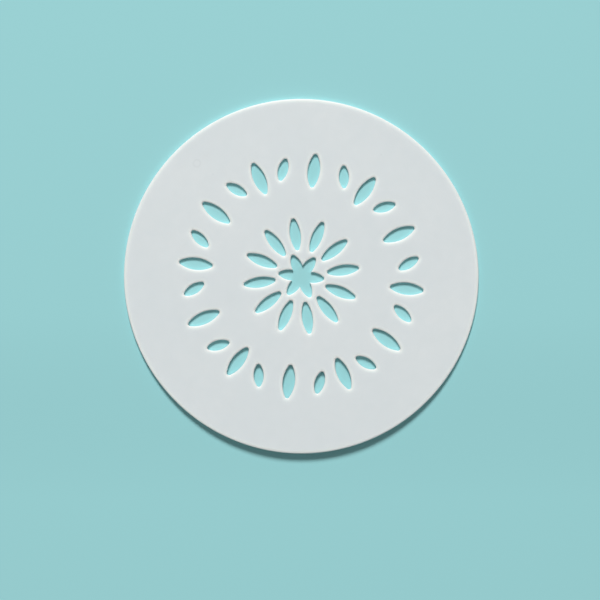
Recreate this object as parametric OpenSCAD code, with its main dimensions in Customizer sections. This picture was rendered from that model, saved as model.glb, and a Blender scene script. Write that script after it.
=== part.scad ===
// Round flower stencil: one flat plastic sheet with a flower in the middle, a ring of petals
// round it, and an outer wreath of large and small petals, all cut right through.
// The origin is the centre of the underside. +X runs along one petal of the centre flower.

/* [Sheet] */
// Diameter of the sheet
disc_d = 76.2; // [70:0.1:120]
// Thickness of the sheet
sheet_t = 0.8; // [0.6:0.05:2]
// Radius that rounds the edges of the rim and of every opening
edge_r = 0.25; // [0.1:0.05:0.25]

/* [Centre flower] */
// Number of petals in the centre flower, which sets the symmetry of the whole pattern
flower_petals = 6; // [5:1:7]
// Distance from the centre to the tips of the flower
flower_tip = 4.9; // [4.7:0.1:5.1]
// Length of a flower petal, whose inner tip runs past the centre
flower_len = 5.2; // [5:0.1:5.6]
// Width of a flower petal
flower_w = 2.25; // [2.1:0.05:2.4]

/* [Inner ring] */
// Distance from the centre to the middle of an inner petal
inner_r = 9.05; // [8.9:0.05:12]
// Length of an inner petal
inner_len = 6.85; // [5:0.05:6.9]
// Width of an inner petal
inner_w = 2.25; // [1.8:0.05:2.5]

/* [Outer wreath] */
// Distance from the centre to the middle of a large petal
large_r = 22.8; // [20:0.1:28]
// Length of a large petal
large_len = 7.2; // [5:0.1:9]
// Width of a large petal
large_w = 2.6; // [2:0.1:3]
// Distance from the centre to the middle of a small petal
small_r = 23.2; // [20:0.1:28]
// Length of a small petal
small_len = 4.85; // [4:0.05:5.2]
// Width of a small petal
small_w = 2.1; // [1.8:0.05:2.3]
// Angle between a flower axis and the small petal on each side of it
small_step = 13.5; // [12:0.5:14.5]
// Angle by which a small petal leans out of the radial direction, away from the flower axis
small_lean = 24.4; // [0:0.1:30]

/* [Petal tips] */
// Radius that rounds both tips of every petal
tip_r = 0.48; // [0.4:0.01:0.55]

/* [Hidden] */
$fn = 96;
disc_r = disc_d / 2;
flower_step = 360 / flower_petals;
petal_step = flower_step / 2;
// How far the cutting solids stand out of both faces of the sheet
overshoot = 0.5;
// How far a rounded tip stands out of the sides where it meets them, so that they cross cleanly
tip_swell = 0.01;

// Half section of the blank sheet, with its rim rounded at both faces
module blank_section() {
    square([disc_r - edge_r, sheet_t]);
    translate([0, edge_r]) square([disc_r, sheet_t - 2 * edge_r]);
    for (z = [edge_r, sheet_t - edge_r])
        translate([disc_r - edge_r, z]) circle(edge_r);
}

// Half section of a round opening of radius r, which widens in a quarter round at both faces
module opening_section(r) {
    mouth_r = r + edge_r;
    difference() {
        translate([0, -overshoot]) square([mouth_r, sheet_t + 2 * overshoot]);
        translate([r, edge_r]) square([2 * edge_r, sheet_t - 2 * edge_r]);
        for (z = [edge_r, sheet_t - edge_r])
            translate([mouth_r, z]) circle(edge_r);
    }
}

// Round opening of radius r through the sheet
module opening(r) {
    rotate_extrude() opening_section(r);
}

// Solid that cuts one petal, lying along X: two long arcs that run into rounded tips.
// The arcs end halfway round the bend where they meet the tips, inside the tips' own openings.
module petal_cut(length, width) {
    tip_x = length / 2 - tip_r;
    blend_r = tip_r - tip_swell;
    side_r = (pow(tip_x, 2) + pow(width / 2, 2) - pow(blend_r, 2)) / (width - 2 * blend_r);
    side_y = side_r - width / 2;
    side_end = tip_x * (1 + (tip_r + edge_r / 2) / (side_r - blend_r));
    intersection() {
        translate([0, -side_y, 0]) opening(side_r);
        translate([0, side_y, 0]) opening(side_r);
        translate([-side_end, -width, -2 * overshoot])
            cube([2 * side_end, 2 * width, sheet_t + 4 * overshoot]);
    }
    for (end = [-1, 1])
        translate([end * tip_x, 0, 0])
            rotate([0, 0, 90]) opening(tip_r);
}

// Petals of the centre flower, which run together in the middle
module flower_cuts() {
    for (k = [0 : flower_petals - 1])
        rotate([0, 0, k * flower_step])
            translate([flower_tip - flower_len / 2, 0, 0]) petal_cut(flower_len, flower_w);
}

// Ring of petals between the flower's axes
module inner_cuts() {
    for (k = [0 : 2 * flower_petals - 1])
        rotate([0, 0, (k + 0.5) * petal_step])
            translate([inner_r, 0, 0]) petal_cut(inner_len, inner_w);
}

// Large petals of the wreath, on the flower's axes and halfway between them
module large_cuts() {
    for (k = [0 : 2 * flower_petals - 1])
        rotate([0, 0, k * petal_step])
            translate([large_r, 0, 0]) petal_cut(large_len, large_w);
}

// Small petals of the wreath, one on each side of every flower axis
module small_cuts() {
    for (k = [0 : flower_petals - 1], side = [-1, 1])
        rotate([0, 0, k * flower_step + side * small_step])
            translate([small_r, 0, 0])
                rotate([0, 0, side * small_lean]) petal_cut(small_len, small_w);
}

module template_disc() {
    color("whitesmoke")
        difference() {
            rotate_extrude() blank_section();
            flower_cuts();
            inner_cuts();
            large_cuts();
            small_cuts();
        }
}

template_disc();
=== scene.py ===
"""Looks of the round flower stencil: a milky plastic sheet with rounded edges, on blue-green card."""

import math

import bpy
import numpy as np
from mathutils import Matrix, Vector, geometry


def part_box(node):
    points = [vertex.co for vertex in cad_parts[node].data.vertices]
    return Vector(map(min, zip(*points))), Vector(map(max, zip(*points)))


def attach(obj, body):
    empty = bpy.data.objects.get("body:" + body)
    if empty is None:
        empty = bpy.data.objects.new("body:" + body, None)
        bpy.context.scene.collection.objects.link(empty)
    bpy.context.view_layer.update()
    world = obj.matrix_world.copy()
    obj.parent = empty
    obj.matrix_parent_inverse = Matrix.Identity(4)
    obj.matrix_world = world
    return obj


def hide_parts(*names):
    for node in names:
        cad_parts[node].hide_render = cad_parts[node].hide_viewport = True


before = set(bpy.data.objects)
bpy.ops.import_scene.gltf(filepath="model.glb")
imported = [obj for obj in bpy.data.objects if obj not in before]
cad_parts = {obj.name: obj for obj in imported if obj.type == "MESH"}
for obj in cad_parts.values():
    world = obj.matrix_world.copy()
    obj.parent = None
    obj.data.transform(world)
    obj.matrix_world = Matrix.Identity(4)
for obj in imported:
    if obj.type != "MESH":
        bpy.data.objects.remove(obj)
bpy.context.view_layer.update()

# ---------------------------------------------------------------------------------------------
# Sizes, in millimetres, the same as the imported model's
# ---------------------------------------------------------------------------------------------
MM = 0.001

low_corner, high_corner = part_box("template_disc")
SHEET_R = high_corner.x / MM
SHEET_T = high_corner.z / MM
EDGE_R = 0.25

FLOWER_PETALS = 6
FLOWER_TIP = 4.9
FLOWER_LEN, FLOWER_W = 5.2, 2.25
INNER_R, INNER_LEN, INNER_W = 9.05, 6.85, 2.25
LARGE_R, LARGE_LEN, LARGE_W = 22.8, 7.2, 2.6
SMALL_R, SMALL_LEN, SMALL_W = 23.2, 4.85, 2.1
SMALL_STEP, SMALL_LEAN = math.radians(13.5), math.radians(24.4)
TIP_R = 0.48

# The top face sinks softly towards every edge: how far from the rounded edge that starts, and how
# steep it is where the rounded edge begins
ROLL_W = 1.0
ROLL_SLOPE = math.tan(math.radians(8.5))

# Fineness of the mesh: steps along each kind of arc and down each rounded edge, the distances of
# the rings of points in the roll, and the spacing of the points on the flat
SIDE_STEPS = 18
TIP_STEPS = 10
RIM_STEPS = 420
ROUND_STEPS = 6
ROLL_RINGS = (0.14, 0.31, 0.52, 0.77)
FACE_GRID = 1.3
# A roll point is left out where another outline is nearer than this share of its own distance
NEAREST_SHARE = 0.97
# Points closer than this are one point to the triangulation
SAME_POINT = 1e-7


# ---------------------------------------------------------------------------------------------
# Outlines: each is a chain of arcs, (centre, radius, start angle, end angle, steps)
# ---------------------------------------------------------------------------------------------
def direction(angle):
    return np.array([math.cos(angle), math.sin(angle)])


def petal_shape(length, width):
    """Where the tips' centres are, the radius of the long sides, how far off axis their centres are,
    and the angle at which a side runs into a tip."""
    tip_x = length / 2 - TIP_R
    side_r = (tip_x**2 + (width / 2) ** 2 - TIP_R**2) / (width - 2 * TIP_R)
    side_y = side_r - width / 2
    return tip_x, side_r, side_y, math.atan2(side_y, tip_x)


def petal_arcs(length, width):
    """Two rounded tips and two long sides, anticlockwise from the outer tip."""
    tip_x, side_r, side_y, bend = petal_shape(length, width)
    half_turn = math.pi
    return [
        ((tip_x, 0), TIP_R, -bend, bend, TIP_STEPS),
        ((0, -side_y), side_r, bend, half_turn - bend, SIDE_STEPS),
        ((-tip_x, 0), TIP_R, half_turn - bend, half_turn + bend, TIP_STEPS),
        ((0, side_y), side_r, half_turn + bend, 2 * half_turn - bend, SIDE_STEPS),
    ]


def placed(arcs, at, turn):
    """The arcs turned about the origin and then moved."""
    cos, sin = math.cos(turn), math.sin(turn)
    return [
        (
            (at[0] + cos * x - sin * y, at[1] + sin * x + cos * y),
            radius,
            start + turn,
            stop + turn,
            steps,
        )
        for (x, y), radius, start, stop, steps in arcs
    ]


def petal(length, width, distance, angle, lean=0.0):
    """A petal opening's arcs, the same for every grow."""
    arcs = placed(petal_arcs(length, width), distance * direction(angle), angle + lean)
    return lambda grow: arcs


def flower(grow):
    """The centre flower's arcs. Its petals run together, so a side ends where it meets its
    neighbour's, halfway between the two petals, and that moves outwards as the outline grows."""
    step = 2 * math.pi / FLOWER_PETALS
    tip_x, side_r, side_y, bend = petal_shape(FLOWER_LEN, FLOWER_W)
    middle = FLOWER_TIP - FLOWER_LEN / 2
    reach = middle * math.sin(step / 2) + side_y * math.cos(step / 2)
    notch = math.pi / 2 + step / 2 - math.acos(reach / (side_r + grow))
    half_petal_steps = SIDE_STEPS * 2 // 3
    one = [
        ((middle, side_y), side_r, -notch, -bend, half_petal_steps),
        ((middle + tip_x, 0), TIP_R, -bend, bend, TIP_STEPS),
        ((middle, -side_y), side_r, bend, notch, half_petal_steps),
    ]
    return [arc for k in range(FLOWER_PETALS) for arc in placed(one, (0, 0), k * step)]


def rim(grow):
    return [((0, 0), SHEET_R, 0, 2 * math.pi, RIM_STEPS)]


def all_openings():
    step = 2 * math.pi / FLOWER_PETALS
    openings = [flower]
    for k in range(2 * FLOWER_PETALS):
        openings.append(petal(INNER_LEN, INNER_W, INNER_R, (k + 0.5) * step / 2))
        openings.append(petal(LARGE_LEN, LARGE_W, LARGE_R, k * step / 2))
    for k in range(FLOWER_PETALS):
        for side in (-1, 1):
            angle = k * step + side * SMALL_STEP
            openings.append(petal(SMALL_LEN, SMALL_W, SMALL_R, angle, side * SMALL_LEAN))
    return openings


def trace(arcs, grow):
    """Points round a closed chain of arcs moved outwards by grow, and the outward directions at
    the start and the end of the stretch that leaves each point."""
    points, leaving, arriving = [], [], []
    for centre, radius, start, stop, steps in arcs:
        for i in range(steps):
            here = direction(start + (stop - start) * i / steps)
            there = direction(start + (stop - start) * (i + 1) / steps)
            points.append(np.array(centre) + (radius + grow) * here)
            leaving.append(here)
            arriving.append(there)
    return np.array(points), np.array(leaving), np.array(arriving)


# ---------------------------------------------------------------------------------------------
# Mesh of the sheet: walls with rounded edges round every outline, and two faces between them
# ---------------------------------------------------------------------------------------------
def rolled(distance):
    """How much is left of the roll at a distance from the rounded edge, from 1 down to 0."""
    return max(0.0, 1 - distance / ROLL_W) ** 2


def roll_drop(distance):
    """How far the roll has sunk there."""
    return ROLL_SLOPE * ROLL_W / 3 * rolled(distance) ** 1.5


def edge_profile():
    """(grow, height, sideways share and upward share of the surface's direction) down a wall."""
    lean = math.atan(ROLL_SLOPE)
    quarter = math.pi / 2
    top_round_z = SHEET_T - roll_drop(0) - EDGE_R * math.cos(lean)
    profile = []
    for i in range(ROUND_STEPS + 1):
        angle = lean + (quarter - lean) * i / ROUND_STEPS
        out, up = math.sin(angle), math.cos(angle)
        profile.append((EDGE_R * (1 - out), top_round_z + EDGE_R * up, out, up))
    for i in range(ROUND_STEPS + 1):
        angle = quarter - quarter * i / ROUND_STEPS
        out, up = math.sin(angle), math.cos(angle)
        profile.append((EDGE_R * (1 - out), EDGE_R * (1 - up), out, -up))
    return profile


# How far the rounded edge reaches from the wall
MOUTH_R = edge_profile()[0][0]


class SheetMesh:
    """Points, each with its share of the roll, and faces with a direction for every corner."""

    def __init__(self):
        self.points, self.shares, self.faces, self.normals = [], [], [], []

    def add_points(self, flat, heights, shares):
        first = len(self.points)
        self.points += [(x, y, z) for (x, y), z in zip(flat, heights)]
        self.shares += list(shares)
        return range(first, first + len(flat))

    def add_face(self, corners, normals):
        self.faces.append(tuple(corners))
        self.normals += list(normals)

    def add_wall(self, arcs_at, side):
        """A wall and its rounded edges. side is 1 for the rim, whose surface faces away from the
        middle, and -1 for an opening. Returns the top and bottom rings of points, and the way that
        the surface leans at each."""
        rings, headings = [], []
        for grow, height, out, up in edge_profile():
            flat, leaving, arriving = trace(arcs_at(grow), -side * grow)
            count = len(flat)
            rings.append(self.add_points(flat, [height] * count, [1.0] * count))
            headings.append(
                [[(*(side * out * d), up) for d in ends] for ends in zip(leaving, arriving)]
            )
        for level in range(len(rings) - 1):
            upper, lower = rings[level], rings[level + 1]
            upper_way, lower_way = headings[level], headings[level + 1]
            for j in range(count):
                k = (j + 1) % count
                corners = [upper[j], upper[k], lower[k], lower[j]]
                ways = [upper_way[j][0], upper_way[j][1], lower_way[j][1], lower_way[j][0]]
                if side > 0:
                    corners.reverse()
                    ways.reverse()
                self.add_face(corners, ways)
        return rings[0], rings[-1], [side * way for way in middle_ways(arcs_at(MOUTH_R))]

    def add_flat_faces(self, walls, outlines):
        """Both faces, from one triangulation of the area between the rim and the openings."""
        border = [i for top, _, _ in walls for i in top]
        flat = np.array([self.points[i][:2] for i in border])
        leans = np.vstack([ways for _, _, ways in walls])
        near, near_leans, distances = roll_points(outlines, flat)
        lattice = face_lattice(flat)
        spots = np.vstack([flat, near, lattice])
        leans = np.vstack([leans, near_leans, np.zeros_like(lattice)])
        distances = [*np.zeros(len(flat)), *distances, *np.full(len(lattice), ROLL_W)]
        shares = [rolled(d) for d in distances]
        loops, first = [], 0
        for top, _, _ in walls:
            loops.append(list(range(first, first + len(top))))
            first += len(top)
        inside_with_holes = 2
        coords = [Vector(p) for p in spots]
        made = geometry.delaunay_2d_cdt(coords, [], loops, inside_with_holes, SAME_POINT)
        assert len(made[0]) == len(coords), "the triangulation changed the outline"
        source = [ids[0] for ids in made[3]]
        inner = slice(len(flat), None)
        heights = [SHEET_T - roll_drop(d) for d in distances[inner]]
        top = border + list(self.add_points(spots[inner], heights, shares[inner]))
        top_ways = [(*(ROLL_SLOPE * share * lean), 1) for lean, share in zip(leans, shares)]
        under = [i for _, ring, _ in walls for i in ring]
        under += self.add_points(spots[inner], [0.0] * len(heights), shares[inner])
        for triangle in made[2]:
            spot = [source[i] for i in triangle]
            self.add_face([top[i] for i in spot], [top_ways[i] for i in spot])
            self.add_face([under[i] for i in reversed(spot)], [(0, 0, -1)] * 3)


def middle_ways(arcs):
    """Outward directions at the points of a chain, halfway between the two stretches' own."""
    _, leaving, arriving = trace(arcs, 0)
    ways = leaving + np.roll(arriving, 1, axis=0)
    return ways / np.hypot(*ways.T)[:, None]


def roll_points(outlines, border):
    """Rings of face points beside every outline, their leans and distances from the rounded edge.
    A point that is nearer to another outline is left out."""
    spots, leans, distances = [], [], []
    for arcs_at, side in outlines:
        for distance in ROLL_RINGS:
            grow = MOUTH_R + distance
            flat, _, _ = trace(arcs_at(grow), -side * grow)
            for spot, way in zip(flat, middle_ways(arcs_at(grow))):
                if np.hypot(*(border - spot).T).min() > NEAREST_SHARE * distance:
                    spots.append(spot)
                    leans.append(side * way)
                    distances.append(distance)
    return np.array(spots), np.array(leans), distances


def face_lattice(border):
    """Points of a triangular lattice that are inside the rim and clear of every outline's roll."""
    row_gap = FACE_GRID * math.sqrt(3) / 2
    rows = int(SHEET_R / row_gap) + 1
    columns = int(SHEET_R / FACE_GRID) + 1
    points = np.array(
        [
            ((i + 0.5 * (j % 2)) * FACE_GRID, j * row_gap)
            for j in range(-rows, rows + 1)
            for i in range(-columns, columns + 1)
        ]
    )
    points = points[np.hypot(*points.T) < SHEET_R - EDGE_R]
    gaps = np.array([np.hypot(*(border - p).T).min() for p in points])
    points = points[gaps > ROLL_W]
    mouths = [trace(arcs_at(EDGE_R), EDGE_R)[0] for arcs_at in all_openings()]
    return np.array([p for p in points if not any(within(p, mouth) for mouth in mouths)])


def within(point, outline):
    """Is a point inside a closed outline?"""
    x, y = (outline - point).T
    x2, y2 = np.roll(x, -1), np.roll(y, -1)
    crosses = (y > 0) != (y2 > 0)
    at = x + (x2 - x) * -y / np.where(crosses, y2 - y, 1)
    return bool((crosses & (at > 0)).sum() % 2)


def sheet_object():
    shape = SheetMesh()
    outlines = [(rim, 1)] + [(opening, -1) for opening in all_openings()]
    walls = [shape.add_wall(arcs_at, side) for arcs_at, side in outlines]
    shape.add_flat_faces(walls, outlines)
    mesh = bpy.data.meshes.new("stencil_sheet")
    points = np.array(shape.points) * MM
    mesh.from_pydata(points.tolist(), [], shape.faces)
    mesh.polygons.foreach_set("use_smooth", [True] * len(mesh.polygons))
    mesh.normals_split_custom_set([Vector(n).normalized() for n in shape.normals])
    # The roll's shares also mask the painted edge glow: a whiter colour that stands in for light
    # scattering out of the lit edges
    mesh.attributes.new("painted_edge_glow", "FLOAT", "POINT").data.foreach_set("value", shape.shares)
    mesh.update()
    piece = bpy.data.objects.new("stencil_sheet", mesh)
    bpy.context.scene.collection.objects.link(piece)
    return piece


# ---------------------------------------------------------------------------------------------
# Materials
# ---------------------------------------------------------------------------------------------
BODY_DARKER = (0.797, 0.845, 0.878, 1)
BODY_LIGHTER = (0.828, 0.869, 0.898, 1)
MOTTLE_COLOUR = (0.775, 0.824, 0.852, 1)
MOTTLE_SHARE = 0.35
# Painted glow: the whiter colour near every edge stands in for light that scatters out of the lit
# edges of the plastic
PAINTED_GLOW_COLOUR = (0.925, 0.985, 1.0, 1)
MARK_COLOUR = (0.66, 0.70, 0.73, 1)
MARK_SHARE = 0.25
CARD_COLOUR = (0.368, 0.725, 0.762, 1)
# Most of a noise's values are between these
NOISE_LOW, NOISE_HIGH = 0.3, 0.7

# The ring mark and the specks: (distance from the centre in mm, angle in degrees)
RING_PLACE = (33.0, 139.5)
RING_RADIUS, RING_BLUR = 0.75, 0.3
SPECK_PLACES = ((29.0, 137.7), (31.2, 63.5))
SPECK_BLUR = 0.35

# The scuffs' angles in degrees, each with a number that makes its pattern its own, and how much
# the noise that draws them is stretched along each axis
SCUFFS = ((25, 3), (112, 11))
SCUFF_STRETCH = (90, 5200, 90)
SCUFF_ROUGHNESS = 0.12
# Between these noise values a scuff, and a patch of scuffs, goes from nothing to full
SCUFF_FADE = (0.66, 0.74)
PATCH_FADE = (0.52, 0.64)
# How rough the darkest and the lightest clouds are
ROUGH_DARKER, ROUGH_LIGHTER = 0.42, 0.49


class Nodes:
    """Short ways to add and join shader nodes."""

    def __init__(self, name):
        self.material = bpy.data.materials.new(name)
        self.material.use_nodes = True
        self.tree = self.material.node_tree
        self.shader = self.tree.nodes["Principled BSDF"]

    def add(self, kind, **values):
        node = self.tree.nodes.new(kind)
        for key, value in values.items():
            setattr(node, key, value)
        return node

    def join(self, source, target):
        self.tree.links.new(source, target)

    def noise(self, where, scale, detail):
        node = self.add("ShaderNodeTexNoise")
        node.inputs["Scale"].default_value = scale
        node.inputs["Detail"].default_value = detail
        self.join(where, node.inputs["Vector"])
        return node.outputs["Fac"]

    def spread(self, source, from_low, from_high, to_low, to_high):
        node = self.add("ShaderNodeMapRange")
        for key, value in zip(
            ("From Min", "From Max", "To Min", "To Max"), (from_low, from_high, to_low, to_high)
        ):
            node.inputs[key].default_value = value
        self.join(source, node.inputs["Value"])
        return node.outputs["Result"]

    def math(self, operation, *values):
        node = self.add("ShaderNodeMath", operation=operation)
        for socket, value in zip(node.inputs, values):
            if isinstance(value, (int, float)):
                socket.default_value = value
            else:
                self.join(value, socket)
        return node.outputs[0]

    def mix(self, share, a, b):
        node = self.add("ShaderNodeMix", data_type="RGBA")
        self.join(share, node.inputs["Factor"])
        for name, value in (("A", a), ("B", b)):
            socket = next(s for s in node.inputs if s.name == name and s.type == "RGBA")
            if isinstance(value, tuple):
                socket.default_value = value
            else:
                self.join(value, socket)
        return next(s for s in node.outputs if s.type == "RGBA")

    def bump(self, height, distance, strength, under=None):
        node = self.add("ShaderNodeBump")
        node.inputs["Distance"].default_value = distance
        node.inputs["Strength"].default_value = strength
        self.join(height, node.inputs["Height"])
        if under is not None:
            self.join(under, node.inputs["Normal"])
        return node.outputs["Normal"]


def scuffs(nodes, place, angle, seed):
    """Share of fine straight scratches that run along one angle, in scattered patches."""
    turned = nodes.add("ShaderNodeMapping")
    turned.inputs["Rotation"].default_value = (0, 0, math.radians(angle))
    turned.inputs["Location"].default_value = (seed, seed, 0)
    turned.inputs["Scale"].default_value = SCUFF_STRETCH
    nodes.join(place, turned.inputs["Vector"])
    lines = nodes.spread(nodes.noise(turned.outputs["Vector"], 1.0, detail=1.0), *SCUFF_FADE, 0, 1)
    patches = nodes.spread(nodes.noise(place, 70.0 + seed, detail=2.0), *PATCH_FADE, 0, 1)
    return nodes.math("MULTIPLY", lines, patches)


def mark(nodes, place, spot, radius, blur):
    """Share of a faint ring of a given radius, round a spot on the sheet. A radius of 0 is a speck."""
    distance, angle = spot
    x, y = distance * MM * direction(math.radians(angle))
    apart = nodes.add("ShaderNodeVectorMath", operation="DISTANCE")
    apart.inputs[1].default_value = (x, y, SHEET_T * MM)
    nodes.join(place, apart.inputs[0])
    off = nodes.math("ABSOLUTE", nodes.math("SUBTRACT", apart.outputs["Value"], radius * MM))
    return nodes.spread(off, 0, blur * MM, 1, 0)


def milky_plastic():
    """Satin, slightly cloudy white plastic. Light goes in and scatters, and a painted glow makes the
    colour whiter near every edge, standing in for light that scatters out of the lit edges.
    It has a few hairline scuffs, a faint ring mark and two specks."""
    nodes = Nodes("milky_plastic")
    place = nodes.add("ShaderNodeTexCoord").outputs["Object"]
    clouds = nodes.spread(nodes.noise(place, 45.0, detail=4.0), NOISE_LOW, NOISE_HIGH, 0, 1)
    mottle = nodes.spread(nodes.noise(place, 420.0, detail=3.0), NOISE_LOW, NOISE_HIGH, 0, 1)
    body = nodes.mix(clouds, BODY_DARKER, BODY_LIGHTER)
    body = nodes.mix(nodes.math("MULTIPLY", mottle, MOTTLE_SHARE), body, MOTTLE_COLOUR)
    # Painted glow: whiter near every edge, standing in for light that scatters out of the lit edges
    edge = nodes.add("ShaderNodeAttribute", attribute_name="painted_edge_glow").outputs["Fac"]
    body = nodes.mix(edge, body, PAINTED_GLOW_COLOUR)
    marks = mark(nodes, place, RING_PLACE, RING_RADIUS, RING_BLUR)
    for spot in SPECK_PLACES:
        marks = nodes.math("MAXIMUM", marks, mark(nodes, place, spot, 0, SPECK_BLUR))
    body = nodes.mix(nodes.math("MULTIPLY", marks, MARK_SHARE), body, MARK_COLOUR)
    nodes.join(body, nodes.shader.inputs["Base Color"])

    scratches = nodes.math("MAXIMUM", *[scuffs(nodes, place, angle, seed) for angle, seed in SCUFFS])
    smooth = nodes.spread(clouds, 0, 1, ROUGH_DARKER, ROUGH_LIGHTER)
    rough = nodes.math("ADD", smooth, nodes.math("MULTIPLY", scratches, SCUFF_ROUGHNESS))
    nodes.join(rough, nodes.shader.inputs["Roughness"])
    fine = nodes.noise(place, 9000.0, detail=2.0)
    broad = nodes.noise(place, 160.0, detail=1.0)
    grain = nodes.bump(fine, distance=0.00001, strength=0.35)
    waves = nodes.bump(broad, distance=0.00002, strength=0.5, under=grain)
    relief = nodes.bump(scratches, distance=0.000004, strength=0.5, under=waves)
    nodes.join(relief, nodes.shader.inputs["Normal"])
    nodes.shader.inputs["IOR"].default_value = 1.49
    nodes.shader.inputs["Specular IOR Level"].default_value = 0.4
    nodes.shader.inputs["Subsurface Weight"].default_value = 1.0
    nodes.shader.inputs["Subsurface Radius"].default_value = (1.0, 1.0, 1.0)
    nodes.shader.inputs["Subsurface Scale"].default_value = 0.0005
    return nodes.material


def pale_card():
    """Plain matt card."""
    nodes = Nodes("pale_card")
    nodes.shader.inputs["Base Color"].default_value = CARD_COLOUR
    nodes.shader.inputs["Roughness"].default_value = 0.9
    nodes.shader.inputs["Specular IOR Level"].default_value = 0.1
    return nodes.material


# ---------------------------------------------------------------------------------------------
# The piece
# ---------------------------------------------------------------------------------------------
stencil = sheet_object()
stencil.data.materials.append(milky_plastic())
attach(stencil, "root")
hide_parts("template_disc")

# ---------------------------------------------------------------------------------------------
# Floor, light and camera
# ---------------------------------------------------------------------------------------------
FLOOR_SIZE = 6.0
# The card is this far under the sheet, so that the two surfaces don't share a plane
FLOOR_GAP = 0.00003
# Where the card begins to sink, how far it takes to do so, and how deep
SAG_START = -0.008
SAG_LENGTH = 0.040
SAG_DEPTH = 0.0012
SAG_STEPS = 20
# The camera looks straight down, turned so that the flower's petals point as they do on the card
CAMERA_TURN = math.radians(6.75)
CAMERA_HEIGHT = 0.6
SENSOR = 36.0
# How much of the picture's width the sheet takes up, the width of what the camera sees there,
# and where its middle is from the sheet's centre, right and up
SHEET_SHARE = 0.5915
VIEW_WIDTH = 2 * SHEET_R * MM / SHEET_SHARE
VIEW_MIDDLE = (-0.00028, -0.0051)
# Both lamps give the same slightly warm white, and the room's light is a little green
LAMP_COLOUR = (1.0, 0.99, 0.97)
ROOM_COLOUR = (0.90, 1.0, 0.95, 1)
ROOM_STRENGTH = 0.10


def seen(right, up, height):
    """A place given in the camera's own directions, right and up in its picture."""
    cos, sin = math.cos(CAMERA_TURN), math.sin(CAMERA_TURN)
    return Vector((cos * right - sin * up, sin * right + cos * up, height))


def smooth_step(share):
    """A rise from 0 to 1 that starts and ends level."""
    return share * share * (3 - 2 * share)


def add_floor():
    """A card that lies under the sheet and sinks a little under its lower rim."""
    half = FLOOR_SIZE / 2
    shares = [i / SAG_STEPS for i in range(SAG_STEPS + 1)]
    sag = [(SAG_START - SAG_LENGTH * s, -SAG_DEPTH * smooth_step(s)) for s in shares]
    rows = [(half, 0), *sag, (-half, -SAG_DEPTH)]
    points = [seen(side * half, up, height) for up, height in rows for side in (-1, 1)]
    faces = [(i, i + 2, i + 3, i + 1) for i in range(0, 2 * len(rows) - 2, 2)]
    mesh = bpy.data.meshes.new("card")
    mesh.from_pydata(points, [], faces)
    mesh.polygons.foreach_set("use_smooth", [True] * len(mesh.polygons))
    floor = bpy.data.objects.new("card", mesh)
    floor.location.z = low_corner.z - FLOOR_GAP
    mesh.materials.append(pale_card())
    bpy.context.scene.collection.objects.link(floor)


def add_lamp(name, place, size, power):
    """A round soft lamp that faces the sheet."""
    lamp = bpy.data.lights.new(name, "AREA")
    lamp.shape = "DISK"
    lamp.size = size
    lamp.energy = power
    lamp.color = LAMP_COLOUR
    holder = bpy.data.objects.new(name, lamp)
    holder.location = place
    holder.rotation_euler = (-place).to_track_quat("-Z", "Y").to_euler()
    bpy.context.scene.collection.objects.link(holder)


def add_camera():
    """A camera straight above the sheet."""
    camera = bpy.data.cameras.new("camera")
    camera.sensor_width = SENSOR
    camera.lens = SENSOR * CAMERA_HEIGHT / VIEW_WIDTH
    camera.clip_start = 0.01
    holder = bpy.data.objects.new("camera", camera)
    holder.location = seen(*VIEW_MIDDLE, CAMERA_HEIGHT + SHEET_T * MM)
    holder.rotation_euler = (0, 0, CAMERA_TURN)
    bpy.context.scene.collection.objects.link(holder)
    bpy.context.scene.camera = holder


add_floor()
add_lamp("window", seen(-0.18, 1.96, 1.96), size=0.90, power=74.0)
add_lamp("sheen", seen(-0.03, -0.10, 0.70), size=0.12, power=0.45)
add_camera()

world = bpy.data.worlds.new("studio")
world.use_nodes = True
world.node_tree.nodes["Background"].inputs["Color"].default_value = ROOM_COLOUR
world.node_tree.nodes["Background"].inputs["Strength"].default_value = ROOM_STRENGTH
bpy.context.scene.world = world
bpy.context.scene.view_settings.view_transform = "Standard"
